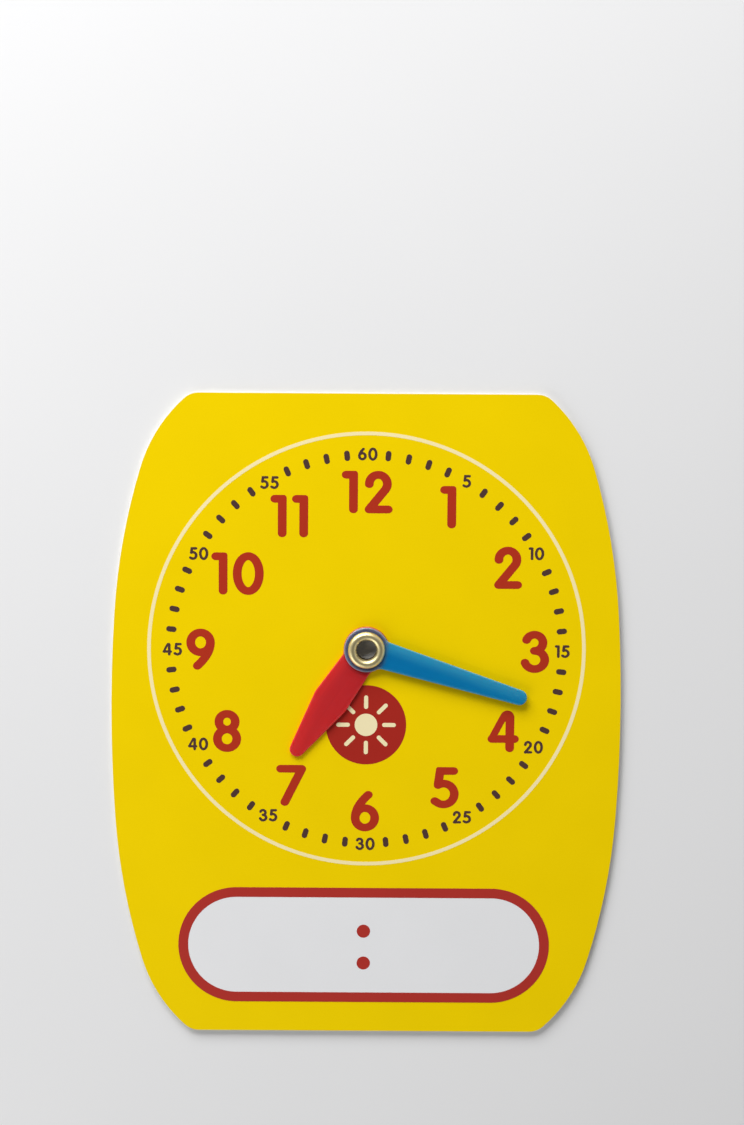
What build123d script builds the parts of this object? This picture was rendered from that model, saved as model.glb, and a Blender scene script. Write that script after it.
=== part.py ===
from build123d import *
import os

# Dry-erase clock dial: a laminated card with two plastic hands on one brass eyelet.
# Millimetres. The origin is on the pivot axis, at the face of the card.
# +Z comes out of the face, +Y points to twelve and +X to three.

# Card outline: straight ends and bowed sides that tighten towards the corners
card_width = 148.4
card_height = 188.3
corner_radius = 6.0
# How far the pivot lies above the middle of the card
pivot_rise = 19.9
# Where the arcs of a side meet, as shares of half the width and half the height
flank_shares = (0.9867, 0.3204)
shoulder_shares = (0.8825, 0.7718)
end_width_share = 0.688

# Layers of the card
film_thickness = 0.075
paper_thickness = 0.15
core_thickness = 1.0

# Eyelet, rolled from brass sheet
bore_radius = 2.9
brass_wall = 0.3
# How far the rolled head and tail reach out past the barrel
head_overhang = 2.2
tail_overhang = 1.0
barrel_clearance = 0.05
seat_clearance = 0.15

# Hands, cut from plastic sheet; a hub's rim is what it leaves round the pivot hole
hand_thickness = 0.9
hand_gap = 0.1
running_clearance = 0.1
edge_break = 0.3
neck_radius = 2.5
elbow_radius = 8.0

# Hour hand: widens from its hub to a blunt elbow, then tapers to a round tip
hour_clock_angle = 214.2
hour_length = 37.85
hour_hub_rim = 3.35
hour_root_width = 9.1
hour_elbow_width = 10.7
hour_elbow_reach = 18.5
hour_tip_radius = 2.2

# Minute hand: one straight taper from its hub to a round tip
minute_clock_angle = 107.1
minute_length = 48.8
minute_hub_rim = 3.2
minute_root_width = 8.6
minute_tip_radius = 2.2

# Levels, worked out from the layers; the face is at zero
face_sheet_base = -film_thickness - paper_thickness
core_base = face_sheet_base - core_thickness
back_sheet_base = core_base - paper_thickness
back_base = back_sheet_base - film_thickness
hour_base = hand_gap
minute_base = hour_base + hand_thickness + hand_gap
head_base = minute_base + hand_thickness + hand_gap

# Eyelet: outside of the barrel, radii of the rolls at the middle of the wall, and where the tail seats
barrel_radius = bore_radius + brass_wall
barrel_line = bore_radius + brass_wall / 2
head_radius = barrel_radius + head_overhang
tail_radius = barrel_radius + tail_overhang
head_roll = head_overhang / 2
tail_roll = tail_overhang / 2
seat_level = back_base + tail_roll + brass_wall / 2

# Holes that the eyelet passes through, and the hubs round them
card_hole_radius = barrel_radius + barrel_clearance
seat_radius = tail_radius + seat_clearance
hand_hole_radius = barrel_radius + running_clearance
hour_hub_radius = hand_hole_radius + hour_hub_rim
minute_hub_radius = hand_hole_radius + minute_hub_rim

os.makedirs("parts", exist_ok=True)


def card_plane(level):
    """A plane at the middle of the card, level above the face."""
    return Plane((0, -pivot_rise, level))


def hand_plane(clock_angle, level):
    """A plane on the pivot whose X axis points where a hand points, clockwise from twelve."""
    return Plane.XY.offset(level).rotated((0, 0, 90 - clock_angle))


def export_piece(piece, name):
    """Label a finished piece and write it under its own name."""
    piece.part.label = name
    export_step(piece.part, f"parts/{name}.step")


# Card outline: one quarter of it as three tangent arcs, mirrored both ways
half_width = card_width / 2
half_height = card_height / 2
flank_point = (flank_shares[0] * half_width, flank_shares[1] * half_height)
shoulder_point = (shoulder_shares[0] * half_width, shoulder_shares[1] * half_height)
end_point = (end_width_share * half_width, half_height)
with BuildSketch() as card_outline:
    with BuildLine():
        flank = TangentArc((half_width, 0), flank_point, tangent=(0, 1))
        shoulder = TangentArc(flank_point, shoulder_point, tangent=flank % 1)
        TangentArc(shoulder_point, end_point, tangent=shoulder % 1)
        Line(end_point, (0, half_height))
        mirror(about=Plane.YZ)
        mirror(about=Plane.XZ)
    make_face()
    end_corners = card_outline.vertices().group_by(Axis.Y)
    fillet(end_corners[0] + end_corners[-1], corner_radius)


def card_layer(name, base, thickness, hole_radius):
    """One sheet of the card, punched at the pivot."""
    with BuildPart() as layer:
        with BuildSketch(card_plane(base)):
            add(card_outline.sketch)
            with Locations((0, pivot_rise)):
                Circle(hole_radius, mode=Mode.SUBTRACT)
        extrude(amount=thickness)
    export_piece(layer, name)


card_layer("face_film", -film_thickness, film_thickness, card_hole_radius)
card_layer("face_sheet", face_sheet_base, paper_thickness, card_hole_radius)
card_layer("back_sheet", back_sheet_base, paper_thickness, seat_radius)
card_layer("back_film", back_base, film_thickness, seat_radius)

# Core card, with the round seat that the eyelet's tail is pressed into from behind
with BuildPart() as core_card:
    with BuildSketch(card_plane(core_base)):
        add(card_outline.sketch)
        with Locations((0, pivot_rise)):
            Circle(card_hole_radius, mode=Mode.SUBTRACT)
    extrude(amount=core_thickness)
    with BuildSketch(Plane.XY.offset(core_base)):
        Circle(seat_radius)
    extrude(amount=seat_level - core_base, mode=Mode.SUBTRACT)
export_piece(core_card, "core_card")


def upper_line(lines):
    """Of the two tangents to a hand's tip, the one on its left flank."""
    return lines.sort_by(Axis.Y)[-1]


def flat_hand(name, plane, length, hub_radius, tip_radius, flank):
    """A hand along the plane's X axis: a round hub, flanks through the given points and a round tip."""
    with BuildPart() as hand:
        with BuildSketch(plane) as outline:
            with BuildLine():
                tip_circle = CenterArc((length - tip_radius, 0), tip_radius, 0, 360, mode=Mode.PRIVATE)
                taper = ConstrainedLines(tip_circle, flank[-1], selector=upper_line, mode=Mode.PRIVATE)
                tip_start = taper.edge() @ 0
                Polyline((0, 0), *flank, tip_start)
                TangentArc(tip_start, (length, 0), tangent=-(taper.edge() % 0))
                mirror(about=Plane.XZ)
            make_face()
            elbows = outline.vertices().filter_by_position(Axis.X, hub_radius, tip_start.X, (True, False))
            if elbows:
                fillet(elbows, elbow_radius)
            Circle(hub_radius)
            necks = outline.vertices().filter_by_position(Axis.X, 0, hub_radius)
            fillet(necks, neck_radius)
            Circle(hand_hole_radius, mode=Mode.SUBTRACT)
        extrude(amount=hand_thickness)
        fillet(hand.faces().sort_by(Axis.Z)[-1].outer_wire().edges(), edge_break)
    export_piece(hand, name)


# Hour hand, lowest on the barrel, and minute hand over it
hour_flank = [(0, hour_root_width / 2), (hour_elbow_reach, hour_elbow_width / 2)]
minute_flank = [(0, minute_root_width / 2)]
hour_plane = hand_plane(hour_clock_angle, hour_base)
minute_plane = hand_plane(minute_clock_angle, minute_base)
flat_hand("hour_hand", hour_plane, hour_length, hour_hub_radius, hour_tip_radius, hour_flank)
flat_hand("minute_hand", minute_plane, minute_length, minute_hub_radius, minute_tip_radius, minute_flank)

# Eyelet: a brass tube whose head and tail are rolled outward through half a turn
head_center = (barrel_line + head_roll, head_base)
tail_center = (barrel_line + tail_roll, seat_level)
with BuildPart() as eyelet:
    with BuildSketch(Plane.XZ):
        with BuildLine():
            Line((bore_radius, seat_level), (bore_radius, head_base))
            CenterArc(head_center, head_roll + brass_wall / 2, 0, 180)
            Line((head_radius, head_base), (head_radius - brass_wall, head_base))
            CenterArc(head_center, head_roll - brass_wall / 2, 0, 180)
            Line((barrel_radius, head_base), (barrel_radius, seat_level))
            CenterArc(tail_center, tail_roll - brass_wall / 2, 180, 180)
            Line((tail_radius - brass_wall, seat_level), (tail_radius, seat_level))
            CenterArc(tail_center, tail_roll + brass_wall / 2, 180, 180)
        make_face()
    revolve(axis=Axis.Z)
export_piece(eyelet, "eyelet")
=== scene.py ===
"""Dry-erase clock dial: its printed face, plastic hands and brass eyelet, on a pale table in soft light."""

import bmesh
import bpy
import numpy as np
from mathutils import Euler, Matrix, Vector


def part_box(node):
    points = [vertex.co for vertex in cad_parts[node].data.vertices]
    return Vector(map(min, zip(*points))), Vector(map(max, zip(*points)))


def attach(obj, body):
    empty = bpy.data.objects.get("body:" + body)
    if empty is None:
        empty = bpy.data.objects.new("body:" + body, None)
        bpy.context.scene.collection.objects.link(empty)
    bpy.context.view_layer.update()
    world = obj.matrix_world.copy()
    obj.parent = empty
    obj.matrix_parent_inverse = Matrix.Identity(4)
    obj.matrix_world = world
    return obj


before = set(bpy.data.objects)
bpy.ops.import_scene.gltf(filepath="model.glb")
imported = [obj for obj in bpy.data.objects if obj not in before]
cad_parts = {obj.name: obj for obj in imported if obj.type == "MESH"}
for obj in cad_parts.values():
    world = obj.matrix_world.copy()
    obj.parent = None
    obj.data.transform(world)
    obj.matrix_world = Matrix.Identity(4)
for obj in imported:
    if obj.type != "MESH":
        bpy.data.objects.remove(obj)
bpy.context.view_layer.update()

MM = 0.001

# Levels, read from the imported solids
FACE_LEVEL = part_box("face_film")[1][2]
BACK_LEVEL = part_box("back_film")[0][2]
FILM_THICKNESS = FACE_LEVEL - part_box("face_film")[0][2]
HAND_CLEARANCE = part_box("hour_hand")[0][2] - FACE_LEVEL

# Ink: how deep it is set into the film, how far it and any overprint stand up below the hour hand, and how
# much higher each later stroke of a numeral lies
INK_FOOT = FACE_LEVEL - 0.25 * FILM_THICKNESS
INK_RISE = 0.30 * HAND_CLEARANCE
OVERPRINT_RISE = 0.50 * HAND_CLEARANCE
STROKE_STEP = 0.03 * HAND_CLEARANCE

# Print on the face, in millimetres from its own centre, which lies a little below the pivot
PRINT_CENTRE = np.array([0.0, -0.4])
RING_RADIUS = 63.2
RING_WIDTH = 1.05
TICK_RADIUS = 57.0
TICK_LENGTH = 3.0
TICK_WIDTH = 1.6
PANEL_MIDDLE = (-0.27, -87.7)
PANEL_SIZE = (109.1, 34.4)
PANEL_BORDER = 2.9
PANEL_OVERLAP = 0.6
COLON_PLACES = [(-0.35, -83.5), (-0.35, -93.1)]
COLON_RADIUS = 1.97
BADGE_PLACE = (0.0, -21.9)
BADGE_RADIUS = 11.7
SUN_RADIUS = 3.3
SUN_RAYS = 8
RAY_SPAN = (5.3, 8.1)
RAY_NIB = 0.6

# Numerals: size of one grid unit, half sizes of the nib, and the space between two digits
HOUR_PEN = {"unit": 1.0, "nib": (1.27, 1.13), "gap": 1.55}
MINUTE_PEN = {"unit": 0.30, "nib": (0.39, 0.355), "gap": 0.42}
HOUR_PLACES = {
    "12": (-0.09, 46.24), "1": (23.30, 42.02), "2": (40.90, 24.48), "3": (48.98, -0.07),
    "4": (40.05, -23.50), "5": (23.10, -40.39), "6": (-0.14, -47.52), "7": (-21.77, -40.00),
    "8": (-40.51, -23.97), "9": (-48.22, 0.09), "10": (-37.50, 22.31), "11": (-22.56, 39.13),
}
MINUTE_PLACES = {
    "60": (0.01, 57.23), "5": (28.60, 49.54), "10": (48.98, 28.64), "15": (56.90, 0.07),
    "20": (48.92, -28.22), "25": (28.26, -49.16), "30": (-0.04, -57.28), "35": (-28.49, -48.92),
    "40": (-48.97, -27.86), "45": (-56.44, 0.04), "50": (-48.75, 28.08), "55": (-28.31, 48.82),
}

# How finely curves are drawn: degrees between points on arcs, then points on a bend, at a corner and on a
# quarter of a round end
ARC_STEP = 6.0
WIDE_ARC_STEP = 2.0
BEND_POINTS = 15
CORNER_ROWS = 9
CAP_ROWS = 7
# From which angle on a turn is a corner, and from which distance on two points are one
SHARP_TURN = np.radians(20)
SAME_POINT = 0.0001 * MM


# Pen paths of the numerals, on a grid ten units high with zero at the middle

def line(*points):
    """Straight runs through the given points."""
    return np.array(points, dtype=float)


def oval(centre, radii, start, end, step=ARC_STEP):
    """Points on an oval: its centre plus cosine and sine of an angle times its two radii, in degrees."""
    rows = int(np.ceil(abs(end - start) / step)) + 1
    angle = np.radians(np.linspace(start, end, rows))
    return np.array(centre) + np.array(radii) * np.column_stack([np.cos(angle), np.sin(angle)])


def bend(start, aim, end):
    """Points on a quadratic curve that leaves start towards aim and reaches end from there."""
    t = np.linspace(0, 1, BEND_POINTS)[:, None]
    return (1 - t) ** 2 * np.array(start) + 2 * t * (1 - t) * np.array(aim) + t ** 2 * np.array(end)


def touch(centre, radii, point):
    """Angle in degrees, clockwise round an oval, where a straight run to the point leaves it."""
    across, up = (np.array(point) - np.array(centre)) / np.array(radii)
    return np.degrees(np.arctan2(up, across) + np.arccos(1 / np.hypot(across, up))) % 360 - 360


def run(*parts):
    """Paths joined end to end."""
    return np.vstack(parts)


TWO_FOOT = (-2.62, -5.0)
TWO_BOWL = ((0, 2.38), (2.6, 2.64))
NUMERALS = {
    "0": [oval((0, 0), (3.2, 5.1), 0, 360)],
    "1": [line((-2.13, 5), (0, 5), (0, -5))],
    "2": [run(oval(*TWO_BOWL, 181, touch(*TWO_BOWL, TWO_FOOT)), line(TWO_FOOT, (2.91, -5)))],
    "3": [oval((-0.12, 2.67), (2.46, 2.37), 160, -90), oval((0, -2.37), (2.93, 2.67), 90, -162)],
    "4": [
        line((-3.29, -2.33), (3.29, -2.33)),
        line((-3.29, -2.1), (0.06, 4.3)),
        line((1.12, 4.38), (1.18, 4.38)),
        line((1.91, 4.27), (1.91, -5.05)),
    ],
    "5": [
        line((2.93, 4.97), (-1.03, 4.97), (-1.62, 0.78)),
        run(oval((0, -1.88), (3.15, 3.1), 121, -120), line((-2.53, -4.0))),
    ],
    "6": [oval((0, -2), (2.85, 2.89), 0, 360), bend((-2.85, -2), (-2.85, 1.44), (0.94, 4.88))],
    "7": [line((-3.1, 4.95), (3.08, 4.95), (-1.85, -4.96))],
    "8": [oval((0, 2.75), (2.37, 2.32), 0, 360), oval((0, -2.31), (2.82, 2.76), 0, 360)],
}
# A 9 is a 6 turned half round
NUMERALS["9"] = [-path for path in NUMERALS["6"]]
# How round the outside of a numeral's corners is, from 0 for a mitre to 1 for a full round
CORNER_ROUNDNESS = {"1": 0.7, "5": 0.5}
# How broad each stroke of a numeral is, as a share of the nib: the 4 has a finer slope and a broad round peak
STROKE_WEIGHTS = {"4": (1.0, 0.82, 1.5, 1.0)}
# Space between a number's digits beyond the pen's own gap, in grid units
EXTRA_GAP = {"12": 0.43}


# Surfaces

def stroke(path, nib, roundness=1.0, turn=0):
    """A pen stroke: its path and nib in millimetres, how round its corners are and its turn in a numeral."""
    return path, nib, roundness, turn


def turned(vectors, angle):
    """Plane vectors turned anticlockwise by an angle each."""
    cos, sin = np.cos(angle)[:, None], np.sin(angle)[:, None]
    return vectors * cos + vectors[:, ::-1] * [-1, 1] * sin


def pen_edges(path, nib, roundness=1.0):
    """Left and right edge of the mark that an oval nib leaves along a path.

    The path is divided by the nib's half sizes, so that the nib becomes a circle of radius one. Each edge
    lies off the path by the sum of the two neighbouring normals over one plus their dot product, which is
    their mitre. At a sharp turn the outer edge swings from one normal to the other, mixed with the mitre. An
    open end gets a half round: it goes on by the sine of an angle while its half width is the cosine."""
    points = np.asarray(path) / nib
    closed = np.allclose(points[0], points[-1])
    points = points[:-1] if closed else points
    ahead = np.roll(points, -1, axis=0) - points
    ahead /= np.linalg.norm(ahead, axis=1, keepdims=True)
    behind = np.roll(ahead, 1, axis=0)
    if not closed:
        ahead[-1] = ahead[-2]
        behind[0] = ahead[0]
    first, second = ahead[:, ::-1] * [-1, 1], behind[:, ::-1] * [-1, 1]
    cosine = np.sum(first * second, axis=1)
    angle = np.arctan2(behind[:, 0] * ahead[:, 1] - behind[:, 1] * ahead[:, 0], cosine)
    mitre = (first + second) / (1 + cosine)[:, None]
    sharp = np.abs(angle) > SHARP_TURN
    count = np.where(sharp, CORNER_ROWS, 1)
    row = np.repeat(np.arange(len(points)), count)
    share = (np.arange(len(row)) - (np.cumsum(count) - count)[row]) / np.maximum(count - 1, 1)[row]
    swing = (1 - roundness) * mitre[row] + roundness * turned(second[row], angle[row] * share)
    left = points[row] + np.where((sharp & (angle < 0))[row, None], swing, mitre[row])
    right = points[row] - np.where((sharp & (angle > 0))[row, None], swing, mitre[row])
    if not closed:
        cap = np.linspace(np.pi / 2, 0, CAP_ROWS, endpoint=False)[:, None]
        start, end = points[0] - ahead[0] * np.sin(cap), points[-1] + ahead[-1] * np.sin(cap[::-1])
        start_half, end_half = first[0] * np.cos(cap), first[-1] * np.cos(cap[::-1])
        left = np.vstack([start + start_half, left, end + end_half])
        right = np.vstack([start - start_half, right, end - end_half])
    return left * nib, right * nib, closed


def grid_faces(rows, columns, closed):
    """Quads between neighbours in a grid of rows and columns; a closed grid's last row joins its first."""
    here, there = np.meshgrid(np.arange(rows if closed else rows - 1), np.arange(columns - 1), indexing="ij")
    below, above = here * columns + there, (here + 1) % rows * columns + there
    return np.stack([below, below + 1, above + 1, above], axis=-1).reshape(-1, 4)


def dial_piece(name, grids, material):
    """One mesh piece on the dial, from grids of points in metres that are closed or open.

    Points that lie together, at the tip of a round end or the middle of a disc, become one, and what is left
    of a wall that has shrunk to a line is taken away."""
    points, faces, total = [], [], 0
    for grid, closed in grids:
        rows, columns = grid.shape[:2]
        points.append(grid.reshape(-1, 3))
        faces.append(grid_faces(rows, columns, closed) + total)
        total += rows * columns
    mesh = bpy.data.meshes.new(name)
    mesh.from_pydata(np.vstack(points).tolist(), [], np.vstack(faces).tolist())
    merged = bmesh.new()
    merged.from_mesh(mesh)
    bmesh.ops.remove_doubles(merged, verts=merged.verts, dist=SAME_POINT)
    stray_edges = [edge for edge in merged.edges if not edge.link_faces]
    bmesh.ops.delete(merged, geom=stray_edges, context="EDGES")
    merged.to_mesh(mesh)
    merged.free()
    mesh.materials.append(material)
    piece = bpy.data.objects.new(name, mesh)
    bpy.context.scene.collection.objects.link(piece)
    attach(piece, "dial")


def ink(name, strokes, rise, material):
    """Thin ink along pen strokes: up the left edge, over the flat top, down the right edge and back below.

    Each later stroke of a numeral lies a hair higher, so that crossing strokes never share a plane."""
    grids = []
    for path, nib, roundness, turn in strokes:
        left, right, closed = pen_edges(path + PRINT_CENTRE, nib, roundness)
        top = FACE_LEVEL + rise + turn * STROKE_STEP
        levels = np.array([INK_FOOT, top, top, INK_FOOT, INK_FOOT])
        plan = np.stack([left, left, right, right, left], axis=1) * MM
        heights = np.broadcast_to(levels[None, :, None], (len(left), len(levels), 1))
        grids.append((np.concatenate([plan, heights], axis=2), closed))
    dial_piece(name, grids, material)


def number_strokes(text, place, pen):
    """Strokes of one number round a place: its digits side by side, each as wide as its path and nib."""
    nib = np.array(pen["nib"])
    reach = [np.vstack(NUMERALS[digit])[:, 0] * pen["unit"] for digit in text]
    widths = np.array([across.max() - across.min() + 2 * nib[0] for across in reach])
    gap = pen["gap"] + EXTRA_GAP.get(text, 0.0) * pen["unit"]
    ends = np.cumsum(widths + gap) - gap
    middles = ends - widths / 2 - ends[-1] / 2
    strokes = []
    for digit, across, middle in zip(text, reach, middles):
        shift = np.array(place) + [middle - (across.max() + across.min()) / 2, 0]
        roundness = CORNER_ROUNDNESS.get(digit, 1.0)
        weights = STROKE_WEIGHTS.get(digit, (1.0,) * len(NUMERALS[digit]))
        for turn, (path, weight) in enumerate(zip(NUMERALS[digit], weights)):
            strokes.append(stroke(path * pen["unit"] + shift, nib * weight, roundness, turn))
    return strokes


def disc(centre, radius):
    """A filled round: a circle of half the radius, drawn with a nib that reaches from its middle to its rim.

    Mitres on the circle are longer than the nib, so the nib is shorter by the cosine of half a step."""
    nib = radius / 2 * np.cos(np.radians(WIDE_ARC_STEP / 2))
    return stroke(oval(centre, (radius / 2, radius / 2), 0, 360, WIDE_ARC_STEP), nib)


def spoke(centre, angle, start, end, nib):
    """A straight stroke on a radius, its angle clockwise from twelve."""
    outward = np.array([np.sin(angle), np.cos(angle)])
    return stroke(line(centre + outward * start, centre + outward * end), nib)


# Nodes

def feed(tree, node, feeds):
    """Feed a node's inputs with plain values or with other nodes' outputs."""
    for name, value in feeds.items():
        if isinstance(value, bpy.types.Node):
            value = value.outputs[0]
        if isinstance(value, bpy.types.NodeSocket):
            tree.links.new(value, node.inputs[name])
        else:
            node.inputs[name].default_value = value


def put(tree, kind, feeds, **settings):
    """Add a node, set it and feed it."""
    node = tree.nodes.new(kind)
    for name, value in settings.items():
        setattr(node, name, value)
    feed(tree, node, feeds)
    return node


def calc(tree, operation, *values):
    """A Math node on one to three values."""
    return put(tree, "ShaderNodeMath", dict(enumerate(values)), operation=operation)


def blend(tree, share, first, second):
    """The colour between two colours."""
    return put(tree, "ShaderNodeMix", {0: share, 6: first, 7: second}, data_type="RGBA").outputs[2]


def shaded(tree, colour, gain):
    """A colour times a number."""
    return put(tree, "ShaderNodeVectorMath", {0: colour, 3: gain}, operation="SCALE").outputs[0]


def noise(tree, place, scale, detail=2.0, roughness=0.5):
    """Noise from 0 to 1 at a place, its scale in features per unit of length."""
    feeds = {"Vector": place, "Scale": scale, "Detail": detail, "Roughness": roughness}
    return put(tree, "ShaderNodeTexNoise", feeds)


def eased(tree, value, low, high, first=0.0, last=1.0):
    """A value eased from one range to another."""
    feeds = {"Value": value, "From Min": low, "From Max": high, "To Min": first, "To Max": last}
    return put(tree, "ShaderNodeMapRange", feeds, interpolation_type="SMOOTHSTEP")


def stretched(tree, place, scale, turn=0.0):
    """A place turned about the dial's axis and stretched."""
    return put(tree, "ShaderNodeMapping", {"Vector": place, "Rotation": (0, 0, turn), "Scale": scale})


def bump(tree, height, strength, depth):
    """A normal tilted by a height from 0 to 1, over a depth in metres."""
    return put(tree, "ShaderNodeBump", {"Height": height, "Strength": strength, "Distance": depth})


def object_place(tree):
    """The place on the object, in metres."""
    return put(tree, "ShaderNodeTexCoord", {}).outputs["Object"]


def facing_up(tree):
    """One where the surface faces out of the dial's face, nought on cut edges and the back."""
    normal = put(tree, "ShaderNodeTexCoord", {}).outputs["Normal"]
    return eased(tree, put(tree, "ShaderNodeSeparateXYZ", {0: normal}).outputs[2], 0.3, 0.9)


def new_group(name, inputs, outputs):
    """A shader node group: the group, the sockets that come in and the sockets that go out."""
    group = bpy.data.node_groups.new(name, "ShaderNodeTree")
    for label, (kind, value) in inputs.items():
        group.interface.new_socket(label, in_out="INPUT", socket_type=kind).default_value = value
    for label, kind in outputs.items():
        group.interface.new_socket(label, in_out="OUTPUT", socket_type=kind)
    return group, group.nodes.new("NodeGroupInput").outputs, group.nodes.new("NodeGroupOutput")


# Kinds of socket
NUMBER, COLOUR, PLACE = "NodeSocketFloat", "NodeSocketColor", "NodeSocketVector"


def printed_tone_group():
    """Ink on paper: a colour times a gain, from broad unevenness of the print and fine grain of the paper."""
    inputs = {"Colour": (COLOUR, (1, 1, 1, 1)), "Mottle": (NUMBER, 0.05)}
    group, given, result = new_group("printed_tone", inputs, {"Colour": COLOUR})
    place = object_place(group)
    broad = calc(group, "MULTIPLY_ADD", noise(group, place, 45, 3), 1.2, -0.6)
    grain = calc(group, "MULTIPLY_ADD", noise(group, place, 2200), 0.8, -0.4)
    gain = calc(group, "MULTIPLY_ADD", calc(group, "ADD", broad, grain), given["Mottle"], 1.0)
    feed(group, result, {"Colour": shaded(group, given["Colour"], gain)})
    return group


def wiped_film_group():
    """Clear film wiped many times: rubbed smears and hairlines in its gloss, and a slight orange peel."""
    inputs = {"Roughness": (NUMBER, 0.2), "Smear": (NUMBER, 0.1)}
    group, given, result = new_group("wiped_film", inputs, {"Roughness": NUMBER, "Height": NUMBER})
    place = object_place(group)
    rubbed = noise(group, stretched(group, place, (1, 3.2, 1), 0.6), 26, 4, 0.6)
    strands = noise(group, stretched(group, place, (14, 900, 1), 0.9), 1, 2)
    hairlines = eased(group, strands, 0.62, 0.7, 0.0, 0.3)
    smear = calc(group, "ADD", calc(group, "MULTIPLY_ADD", rubbed, 2, -1), hairlines)
    peel = noise(group, place, 420)
    grain = noise(group, place, 3800)
    feed(group, result, {
        "Roughness": calc(group, "MULTIPLY_ADD", smear, given["Smear"], given["Roughness"]),
        "Height": calc(group, "MULTIPLY_ADD", grain, 0.15, peel),
    })
    return group


def paper_fibre_group():
    """Cut or bare paper: fibres matted in flat layers, with darker flecks."""
    inputs = {"Colour": (COLOUR, (1, 1, 1, 1)), "Fleck": (NUMBER, 0.2)}
    group, given, result = new_group("paper_fibre", inputs, {"Colour": COLOUR, "Height": NUMBER})
    place = stretched(group, object_place(group), (1, 1, 7))
    fibre = noise(group, place, 1100, 5, 0.65)
    fleck = eased(group, noise(group, place, 1900), 0.6, 0.74)
    gain = calc(group, "MULTIPLY_ADD", fibre, 0.3, 0.85)
    unflecked = calc(group, "SUBTRACT", 1, calc(group, "MULTIPLY", fleck, given["Fleck"]))
    colour = shaded(group, given["Colour"], calc(group, "MULTIPLY", gain, unflecked))
    feed(group, result, {"Colour": colour, "Height": fibre})
    return group


def cut_sheet_group():
    """A hand cut from coloured sheet, in millimetres along and across it.

    Edge is one at the cut outline and eases to nought inside it: the distance in is the flank's half width
    there less the distance across, or what is left of the hub round the pivot. It carries a painted glow
    along the cut edge. Run goes from nought at the hub to one at the tip and carries painted shade near the
    hub. Hub is one on the hub and eases to nought where the hand leaves it. Pale is one along one flank and
    eases to nought across the hand; it carries painted light on the flank that faces the lamp. Streak is
    noise drawn out along the sheet."""
    inputs = {
        "Place": (PLACE, (0, 0, 0)), "Reach": (NUMBER, 40), "Hub": (NUMBER, 6),
        "Root Half": (NUMBER, 4), "Root Slope": (NUMBER, 0),
        "Tip Half": (NUMBER, 4), "Tip Slope": (NUMBER, 0),
        "Depth": (NUMBER, 1), "Lit Side": (NUMBER, 1),
    }
    outputs = {"Edge": NUMBER, "Run": NUMBER, "Hub": NUMBER, "Pale": NUMBER, "Streak": NUMBER}
    group, given, result = new_group("cut_sheet", inputs, outputs)
    along, across, _ = put(group, "ShaderNodeSeparateXYZ", {0: given["Place"]}).outputs
    root = calc(group, "MULTIPLY_ADD", along, given["Root Slope"], given["Root Half"])
    tip = calc(group, "MULTIPLY_ADD", along, given["Tip Slope"], given["Tip Half"])
    half = calc(group, "MINIMUM", root, tip)
    flank = calc(group, "SUBTRACT", half, calc(group, "ABSOLUTE", across))
    from_lit_side = calc(group, "SUBTRACT", half, calc(group, "MULTIPLY", across, given["Lit Side"]))
    end = calc(group, "MINIMUM", along, calc(group, "SUBTRACT", given["Reach"], along))
    flat = put(group, "ShaderNodeCombineXYZ", {0: along, 1: across})
    radius = put(group, "ShaderNodeVectorMath", {0: flat}, operation="LENGTH").outputs["Value"]
    hub = calc(group, "SUBTRACT", given["Hub"], radius)
    inside = calc(group, "MAXIMUM", calc(group, "MINIMUM", flank, end), hub)
    streak = noise(group, stretched(group, given["Place"], (0.05, 1.6, 1)), 1, 3)
    before_hand = eased(group, along, 3.5, 7.0, 1.0, 0.0)
    feed(group, result, {
        "Edge": eased(group, inside, 0.0, given["Depth"], 1.0, 0.0),
        "Run": eased(group, along, given["Hub"], given["Reach"]),
        "Hub": calc(group, "MULTIPLY", eased(group, hub, -0.8, -0.1), before_hand),
        "Pale": eased(group, from_lit_side, 0.4, 4.0, 1.0, 0.0),
        "Streak": streak,
    })
    return group


PRINTED_TONE = printed_tone_group()
WIPED_FILM = wiped_film_group()
PAPER_FIBRE = paper_fibre_group()
CUT_SHEET = cut_sheet_group()


# Materials

YELLOW = (0.925, 0.66, 0.0, 1)
RED_ON_YELLOW = (0.45, 0.034, 0.014, 1)
RED_ON_WHITE = (0.44, 0.036, 0.027, 1)
BADGE_RED = (0.40, 0.024, 0.016, 1)
DARK_INK = (0.082, 0.042, 0.036, 1)
RING_CREAM = (0.96, 0.83, 0.45, 1)
PANEL_WHITE = (0.835, 0.838, 0.85, 1)
SUN_CREAM = (0.93, 0.82, 0.50, 1)
BACK_WHITE = (0.86, 0.86, 0.85, 1)
BARE_PAPER = (0.80, 0.77, 0.68, 1)
CORE_BOARD = (0.62, 0.58, 0.48, 1)
FILM_EDGE = (0.80, 0.74, 0.40, 1)
BRASS = (0.93, 0.80, 0.44, 1)
TARNISHED_BRASS = (0.76, 0.61, 0.30, 1)
# Dark brown painted shade low in the eyelet's bore
PAINTED_BORE_SHADE = (0.045, 0.028, 0.012, 1)
TABLE_PALE = (0.81, 0.81, 0.815, 1)
TABLE_PALER = (0.85, 0.85, 0.855, 1)

# Roughness of the film and of the plastic and its glossy hub, and how far smears and streaks change it
FILM_ROUGHNESS = 0.30
FILM_SMEAR = 0.07
PLASTIC_ROUGHNESS = 0.26
HUB_ROUGHNESS = 0.25
STREAK_SWING = 0.16
# How strongly each finish shines
FILM_SHINE = 0.15
PAPER_SHINE = 0.3
PLASTIC_SHINE = 0.3
# The brass's shine where painted shade in the bore covers the metal
BORE_SHADE_SHINE = 0.2
TABLE_SHINE = 0.1
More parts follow.
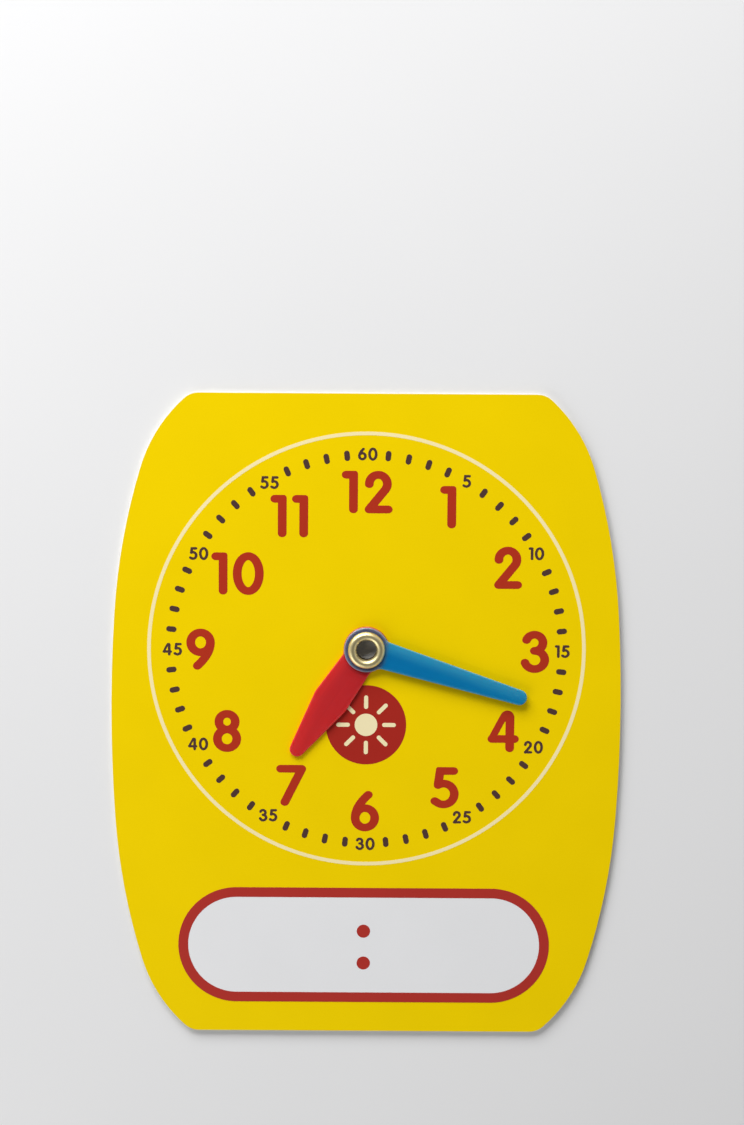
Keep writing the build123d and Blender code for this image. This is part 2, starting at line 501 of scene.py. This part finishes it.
# Depth of the film's orange peel, the paper's fibres, the plastic's streaks and the brass's rings
PEEL_DEPTH = 0.01 * MM
FIBRE_DEPTH = 0.04 * MM
STREAK_DEPTH = 0.03 * MM
RING_DEPTH = 0.02 * MM
# How much of a hand's painted edge glow shows, and how much light enters the plastic and how far it spreads
# there
EDGE_GLOW_SHARE = 0.6
LIGHT_SHARE = 0.8
LIGHT_SPREAD = 1.0 * MM
# Painted shade low in the eyelet's bore, in millimetres: levels and radii where it starts and where it is
# full
BORE_SHADE_LEVELS = (2.6, 1.6)
BORE_SHADE_RADII = (3.05, 2.95)


def new_material(name):
    """A node material: itself, its tree and its shader."""
    material = bpy.data.materials.new(name)
    material.use_nodes = True
    return material, material.node_tree, material.node_tree.nodes["Principled BSDF"]


def film_over_print(name, colour, mottle=0.06, edge=None):
    """Print under clear film: an even tone with paper grain, smeared gloss and, if given, a cut edge."""
    material, tree, shader = new_material(name)
    tone = put(tree, "ShaderNodeGroup", {}, node_tree=PRINTED_TONE)
    feed(tree, tone, {"Colour": colour, "Mottle": mottle})
    film = put(tree, "ShaderNodeGroup", {}, node_tree=WIPED_FILM)
    feed(tree, film, {"Roughness": FILM_ROUGHNESS, "Smear": FILM_SMEAR})
    seen = tone.outputs["Colour"]
    if edge:
        seen = blend(tree, facing_up(tree), edge, seen)
    feed(tree, shader, {
        "Base Color": seen,
        "Roughness": film.outputs["Roughness"],
        "Normal": bump(tree, film.outputs["Height"], 0.5, PEEL_DEPTH),
        "Specular IOR Level": FILM_SHINE,
    })
    return material


def bare_paper(name, colour, fleck, face=None):
    """Paper or board with matted fibres, printed on top where a face colour is given."""
    material, tree, shader = new_material(name)
    fibre = put(tree, "ShaderNodeGroup", {}, node_tree=PAPER_FIBRE)
    feed(tree, fibre, {"Colour": colour, "Fleck": fleck})
    seen = fibre.outputs["Colour"]
    if face:
        seen = blend(tree, facing_up(tree), seen, face)
    feed(tree, shader, {
        "Base Color": seen,
        "Roughness": eased(tree, fibre.outputs["Height"], 0.3, 0.7, 0.75, 0.9),
        "Normal": bump(tree, fibre.outputs["Height"], 0.6, FIBRE_DEPTH),
        "Specular IOR Level": PAPER_SHINE,
    })
    return material


def heading(node):
    """Angle in the plane at which a hand points: that of its farthest point from the pivot."""
    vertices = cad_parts[node].data.vertices
    corners = np.empty(3 * len(vertices), dtype=np.float32)
    vertices.foreach_get("co", corners)
    across, up = corners.reshape(-1, 3)[:, :2].T
    far = np.argmax(np.hypot(across, up))
    return float(np.arctan2(up[far], across[far]))


def hand_plastic(name, node, sizes, colours, spread):
    """Coloured sheet plastic with faint streaks, and painted light: painted shade near the hub that lightens
    towards the tip, a painted lit flank and a painted glow along the cut edge.

    The hub is deeper and glossier, with a painted highlight for its paler rim."""
    material, tree, shader = new_material(name)
    place = stretched(tree, object_place(tree), (1 / MM, 1 / MM, 1 / MM), -heading(node))
    sheet = put(tree, "ShaderNodeGroup", {}, node_tree=CUT_SHEET)
    feed(tree, sheet, {"Place": place, **sizes})
    # Painted shade near the hub, lightening towards the tip
    colour = blend(tree, sheet.outputs["Run"], colours["body"], colours["tip"])
    # Painted light on the flank that faces the lamp
    colour = blend(tree, sheet.outputs["Pale"], colour, colours["pale"])
    colour = blend(tree, sheet.outputs["Hub"], colour, colours["hub"])
    gain = calc(tree, "MULTIPLY_ADD", sheet.outputs["Streak"], STREAK_SWING, 1 - STREAK_SWING / 2)
    # Painted glow along the cut edge, and a painted highlight on the hub's rim
    edge = blend(tree, sheet.outputs["Hub"], colours["edge"], colours["rim"])
    edge_glow_share = calc(tree, "MULTIPLY", sheet.outputs["Edge"], EDGE_GLOW_SHARE)
    feed(tree, shader, {
        "Base Color": blend(tree, edge_glow_share, shaded(tree, colour, gain), edge),
        "Roughness": calc(tree, "MULTIPLY_ADD", sheet.outputs["Streak"], STREAK_SWING, PLASTIC_ROUGHNESS),
        "Normal": bump(tree, sheet.outputs["Streak"], 0.35, STREAK_DEPTH),
        "Specular IOR Level": PLASTIC_SHINE,
        "Coat Weight": sheet.outputs["Hub"],
        "Coat Roughness": HUB_ROUGHNESS,
        "Subsurface Weight": LIGHT_SHARE,
        "Subsurface Radius": spread,
        "Subsurface Scale": LIGHT_SPREAD,
    })
    return material


def rolled_brass(name):
    """Rolled brass sheet: fine rings from the rolling tool, a little tarnish, and painted shade low in the
    bore.
    """
    material, tree, shader = new_material(name)
    place = stretched(tree, object_place(tree), (1 / MM, 1 / MM, 1 / MM))
    along, across, up = put(tree, "ShaderNodeSeparateXYZ", {0: place}).outputs
    flat = put(tree, "ShaderNodeCombineXYZ", {0: along, 1: across})
    radius = put(tree, "ShaderNodeVectorMath", {0: flat}, operation="LENGTH").outputs["Value"]
    rolled = put(tree, "ShaderNodeCombineXYZ", {0: radius, 1: up})
    rings = noise(tree, rolled, 14, 3, 0.6)
    tarnish = eased(tree, noise(tree, place, 0.7, 4, 0.6), 0.45, 0.75)
    # Painted shade low in the bore: dark, rough and not metal
    painted_bore_shade = calc(tree, "MULTIPLY", eased(tree, up, *BORE_SHADE_LEVELS), eased(tree, radius, *BORE_SHADE_RADII))
    rough = calc(tree, "MULTIPLY_ADD", rings, 0.12, calc(tree, "MULTIPLY_ADD", tarnish, 0.08, 0.35))
    feed(tree, shader, {
        "Base Color": blend(tree, painted_bore_shade, blend(tree, tarnish, BRASS, TARNISHED_BRASS), PAINTED_BORE_SHADE),
        "Roughness": calc(tree, "MULTIPLY_ADD", painted_bore_shade, 0.6, rough),
        "Normal": bump(tree, rings, 0.3, RING_DEPTH),
        "Metallic": calc(tree, "SUBTRACT", 1.0, painted_bore_shade),
        "Specular IOR Level": BORE_SHADE_SHINE,
    })
    return material


def pale_table(name):
    """A matt pale table top with a hint of mottling."""
    material, tree, shader = new_material(name)
    cloud = noise(tree, object_place(tree), 6, 3)
    feed(tree, shader, {
        "Base Color": blend(tree, cloud, TABLE_PALE, TABLE_PALER),
        "Roughness": eased(tree, cloud, 0.3, 0.7, 0.7, 0.8),
        "Specular IOR Level": TABLE_SHINE,
    })
    return material


# Hands: outlines for cut_sheet in millimetres, colours, and how far red, green and blue light spread inside
HOUR_SHEET = {
    "Reach": 37.85, "Hub": 6.65, "Depth": 0.8, "Lit Side": -1.0,
    "Root Half": 4.55, "Root Slope": 0.043, "Tip Half": 8.71, "Tip Slope": -0.182,
}
MINUTE_SHEET = {
    "Reach": 48.8, "Hub": 6.5, "Depth": 0.8, "Lit Side": 1.0,
    "Root Half": 4.3, "Root Slope": -0.045, "Tip Half": 4.3, "Tip Slope": -0.045,
}
# In both colour sets, body darker than tip is painted shade near the hub, pale is painted light on the flank
# that faces the lamp, edge is a painted glow along the cut edge and rim a painted highlight on the hub's rim
RED_SHEET = {
    "body": (0.54, 0.022, 0.028, 1), "tip": (0.61, 0.026, 0.028, 1), "pale": (0.69, 0.030, 0.032, 1),
    "edge": (0.70, 0.06, 0.05, 1), "hub": (0.44, 0.020, 0.028, 1), "rim": (0.52, 0.06, 0.05, 1),
}
BLUE_SHEET = {
    "body": (0.0, 0.193, 0.44, 1), "tip": (0.001, 0.205, 0.44, 1), "pale": (0.030, 0.310, 0.51, 1),
    "edge": (0.10, 0.34, 0.42, 1), "hub": (0.085, 0.100, 0.19, 1), "rim": (0.36, 0.35, 0.44, 1),
}
RED_SPREAD = (1.0, 0.15, 0.12)
BLUE_SPREAD = (0.10, 0.8, 1.0)

finishes = {
    "face_film": film_over_print("yellow_under_film", YELLOW, edge=FILM_EDGE),
    "face_sheet": bare_paper("yellow_printed_paper", BARE_PAPER, 0.15, face=YELLOW),
    "core_card": bare_paper("grey_core_board", CORE_BOARD, 0.35),
    "back_sheet": bare_paper("white_backing_paper", BARE_PAPER, 0.15),
    "back_film": film_over_print("white_under_film", BACK_WHITE, 0.05),
    "hour_hand": hand_plastic("red_sheet_plastic", "hour_hand", HOUR_SHEET, RED_SHEET, RED_SPREAD),
    "minute_hand": hand_plastic("blue_sheet_plastic", "minute_hand", MINUTE_SHEET, BLUE_SHEET, BLUE_SPREAD),
    "eyelet": rolled_brass("rolled_brass"),
}
for node, finish in finishes.items():
    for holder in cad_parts[node].material_slots:
        holder.material = finish

red_numerals = film_over_print("red_ink_on_yellow", RED_ON_YELLOW, 0.10)
red_panel_ink = film_over_print("red_ink_on_white", RED_ON_WHITE, 0.10)
badge_ink = film_over_print("deep_red_ink", BADGE_RED, 0.10)
dark_ink = film_over_print("dark_ink", DARK_INK, 0.12)
ring_ink = film_over_print("cream_ring_ink", RING_CREAM)
panel_ink = film_over_print("white_panel_ink", PANEL_WHITE, 0.04)
sun_ink = film_over_print("cream_sun_ink", SUN_CREAM)


# Printed face

minute_angles = np.radians(6.0 * np.arange(60))
tick_half = (TICK_LENGTH - TICK_WIDTH) / 2
ticks = [
    spoke((0, 0), angle, TICK_RADIUS - tick_half, TICK_RADIUS + tick_half, TICK_WIDTH / 2)
    for minute, angle in enumerate(minute_angles)
    if minute % 5
]
ring = stroke(oval((0, 0), (RING_RADIUS, RING_RADIUS), 0, 360, WIDE_ARC_STEP), RING_WIDTH / 2)
hours = sum([number_strokes(text, place, HOUR_PEN) for text, place in HOUR_PLACES.items()], [])
minutes = sum([number_strokes(text, place, MINUTE_PEN) for text, place in MINUTE_PLACES.items()], [])

panel_half = (PANEL_SIZE[0] - PANEL_SIZE[1]) / 2
border_line = (PANEL_SIZE[1] - PANEL_BORDER) / 2
left_end = np.array(PANEL_MIDDLE) - [panel_half, 0]
right_end = np.array(PANEL_MIDDLE) + [panel_half, 0]
border_path = run(
    oval(right_end, (border_line, border_line), -90, 90, WIDE_ARC_STEP),
    oval(left_end, (border_line, border_line), 90, 270, WIDE_ARC_STEP),
    line(right_end - [0, border_line]),
)
border = stroke(border_path, PANEL_BORDER / 2)
field = stroke(line(left_end, right_end), border_line - PANEL_BORDER / 2 + PANEL_OVERLAP)
colon = [disc(place, COLON_RADIUS) for place in COLON_PLACES]

ray_angles = np.radians(360.0 / SUN_RAYS * np.arange(SUN_RAYS))
rays = [spoke(BADGE_PLACE, angle, *RAY_SPAN, RAY_NIB) for angle in ray_angles]

ink("ring_line", [ring], INK_RISE, ring_ink)
ink("minute_ticks", ticks, INK_RISE, dark_ink)
ink("minute_numbers", minutes, INK_RISE, dark_ink)
ink("hour_numbers", hours, INK_RISE, red_numerals)
ink("panel_field", [field], INK_RISE, panel_ink)
ink("panel_border", [border], OVERPRINT_RISE, red_panel_ink)
ink("panel_colon", colon, OVERPRINT_RISE, red_panel_ink)
ink("badge_spot", [disc(BADGE_PLACE, BADGE_RADIUS)], INK_RISE, badge_ink)
ink("badge_sun", [disc(BADGE_PLACE, SUN_RADIUS)] + rays, OVERPRINT_RISE, sun_ink)


# Table, light and camera

# Table: half its width, points along a side, and how far it lies below the card
TABLE_HALF = 4.0
TABLE_ROWS = 9
TABLE_GAP = 0.02 * MM

# Softboxes: place, width and height in metres, and power in watts
SOFTBOXES = {
    "window_softbox": ((-0.33, 0.82, 0.50), (0.90, 0.56), 13.0),
    "fill_softbox": ((-0.40, -0.48, 0.38), (0.50, 0.50), 1.3),
}
HORIZON_LIGHT = 0.75
ZENITH_LIGHT = 0.02

# Camera: place, focal length and sensor in millimetres, turn in degrees, nearest sight in metres
CAMERA_PLACE = (-0.57, 118.1, 775.8)
CAMERA_TURN = (-6.8163, -0.1010, 0.3906)
FOCAL_LENGTH = 86.365
SENSOR_WIDTH = 36.0
NEAREST_SIGHT = 0.01


def table_top(name, level, material):
    """A flat square table: a grid of evenly spaced points at one level."""
    side = np.linspace(-TABLE_HALF, TABLE_HALF, TABLE_ROWS)
    across, up = np.meshgrid(side, side)
    points = np.stack([across, up, np.full_like(across, level)], axis=-1).reshape(-1, 3)
    mesh = bpy.data.meshes.new(name)
    mesh.from_pydata(points.tolist(), [], grid_faces(TABLE_ROWS, TABLE_ROWS, False).tolist())
    mesh.materials.append(material)
    table = bpy.data.objects.new(name, mesh)
    bpy.context.scene.collection.objects.link(table)


def softbox(name, place, size, power):
    """An oblong area light, so wide and so high, aimed at the pivot."""
    lamp = bpy.data.lights.new(name, "AREA")
    lamp.shape = "RECTANGLE"
    lamp.size, lamp.size_y = size
    lamp.energy = power
    light = bpy.data.objects.new(name, lamp)
    light.location = place
    light.rotation_euler = (-Vector(place)).to_track_quat("-Z", "Y").to_euler()
    bpy.context.scene.collection.objects.link(light)


def studio_dome(horizon, zenith):
    """Light from all round: pale at the horizon and dim overhead."""
    world = bpy.data.worlds.new("studio_dome")
    world.use_nodes = True
    tree = world.node_tree
    direction = put(tree, "ShaderNodeTexCoord", {}).outputs["Generated"]
    height = calc(tree, "ABSOLUTE", put(tree, "ShaderNodeSeparateXYZ", {0: direction}).outputs[2])
    sky = blend(tree, height, (horizon, horizon, horizon, 1), (zenith, zenith, zenith, 1))
    feed(tree, tree.nodes["Background"], {"Color": sky})
    bpy.context.scene.world = world


table_top("table_top", BACK_LEVEL - TABLE_GAP, pale_table("pale_table"))
for name, (place, size, power) in SOFTBOXES.items():
    softbox(name, place, size, power)
studio_dome(HORIZON_LIGHT, ZENITH_LIGHT)

lens = bpy.data.cameras.new("photo_camera")
lens.lens = FOCAL_LENGTH
lens.sensor_width = SENSOR_WIDTH
lens.clip_start = NEAREST_SIGHT
camera = bpy.data.objects.new("photo_camera", lens)
camera.location = Vector(CAMERA_PLACE) * MM
camera.rotation_euler = Euler(np.radians(CAMERA_TURN).tolist(), "XYZ")
bpy.context.scene.collection.objects.link(camera)
bpy.context.scene.camera = camera
bpy.context.scene.view_settings.view_transform = "Standard"
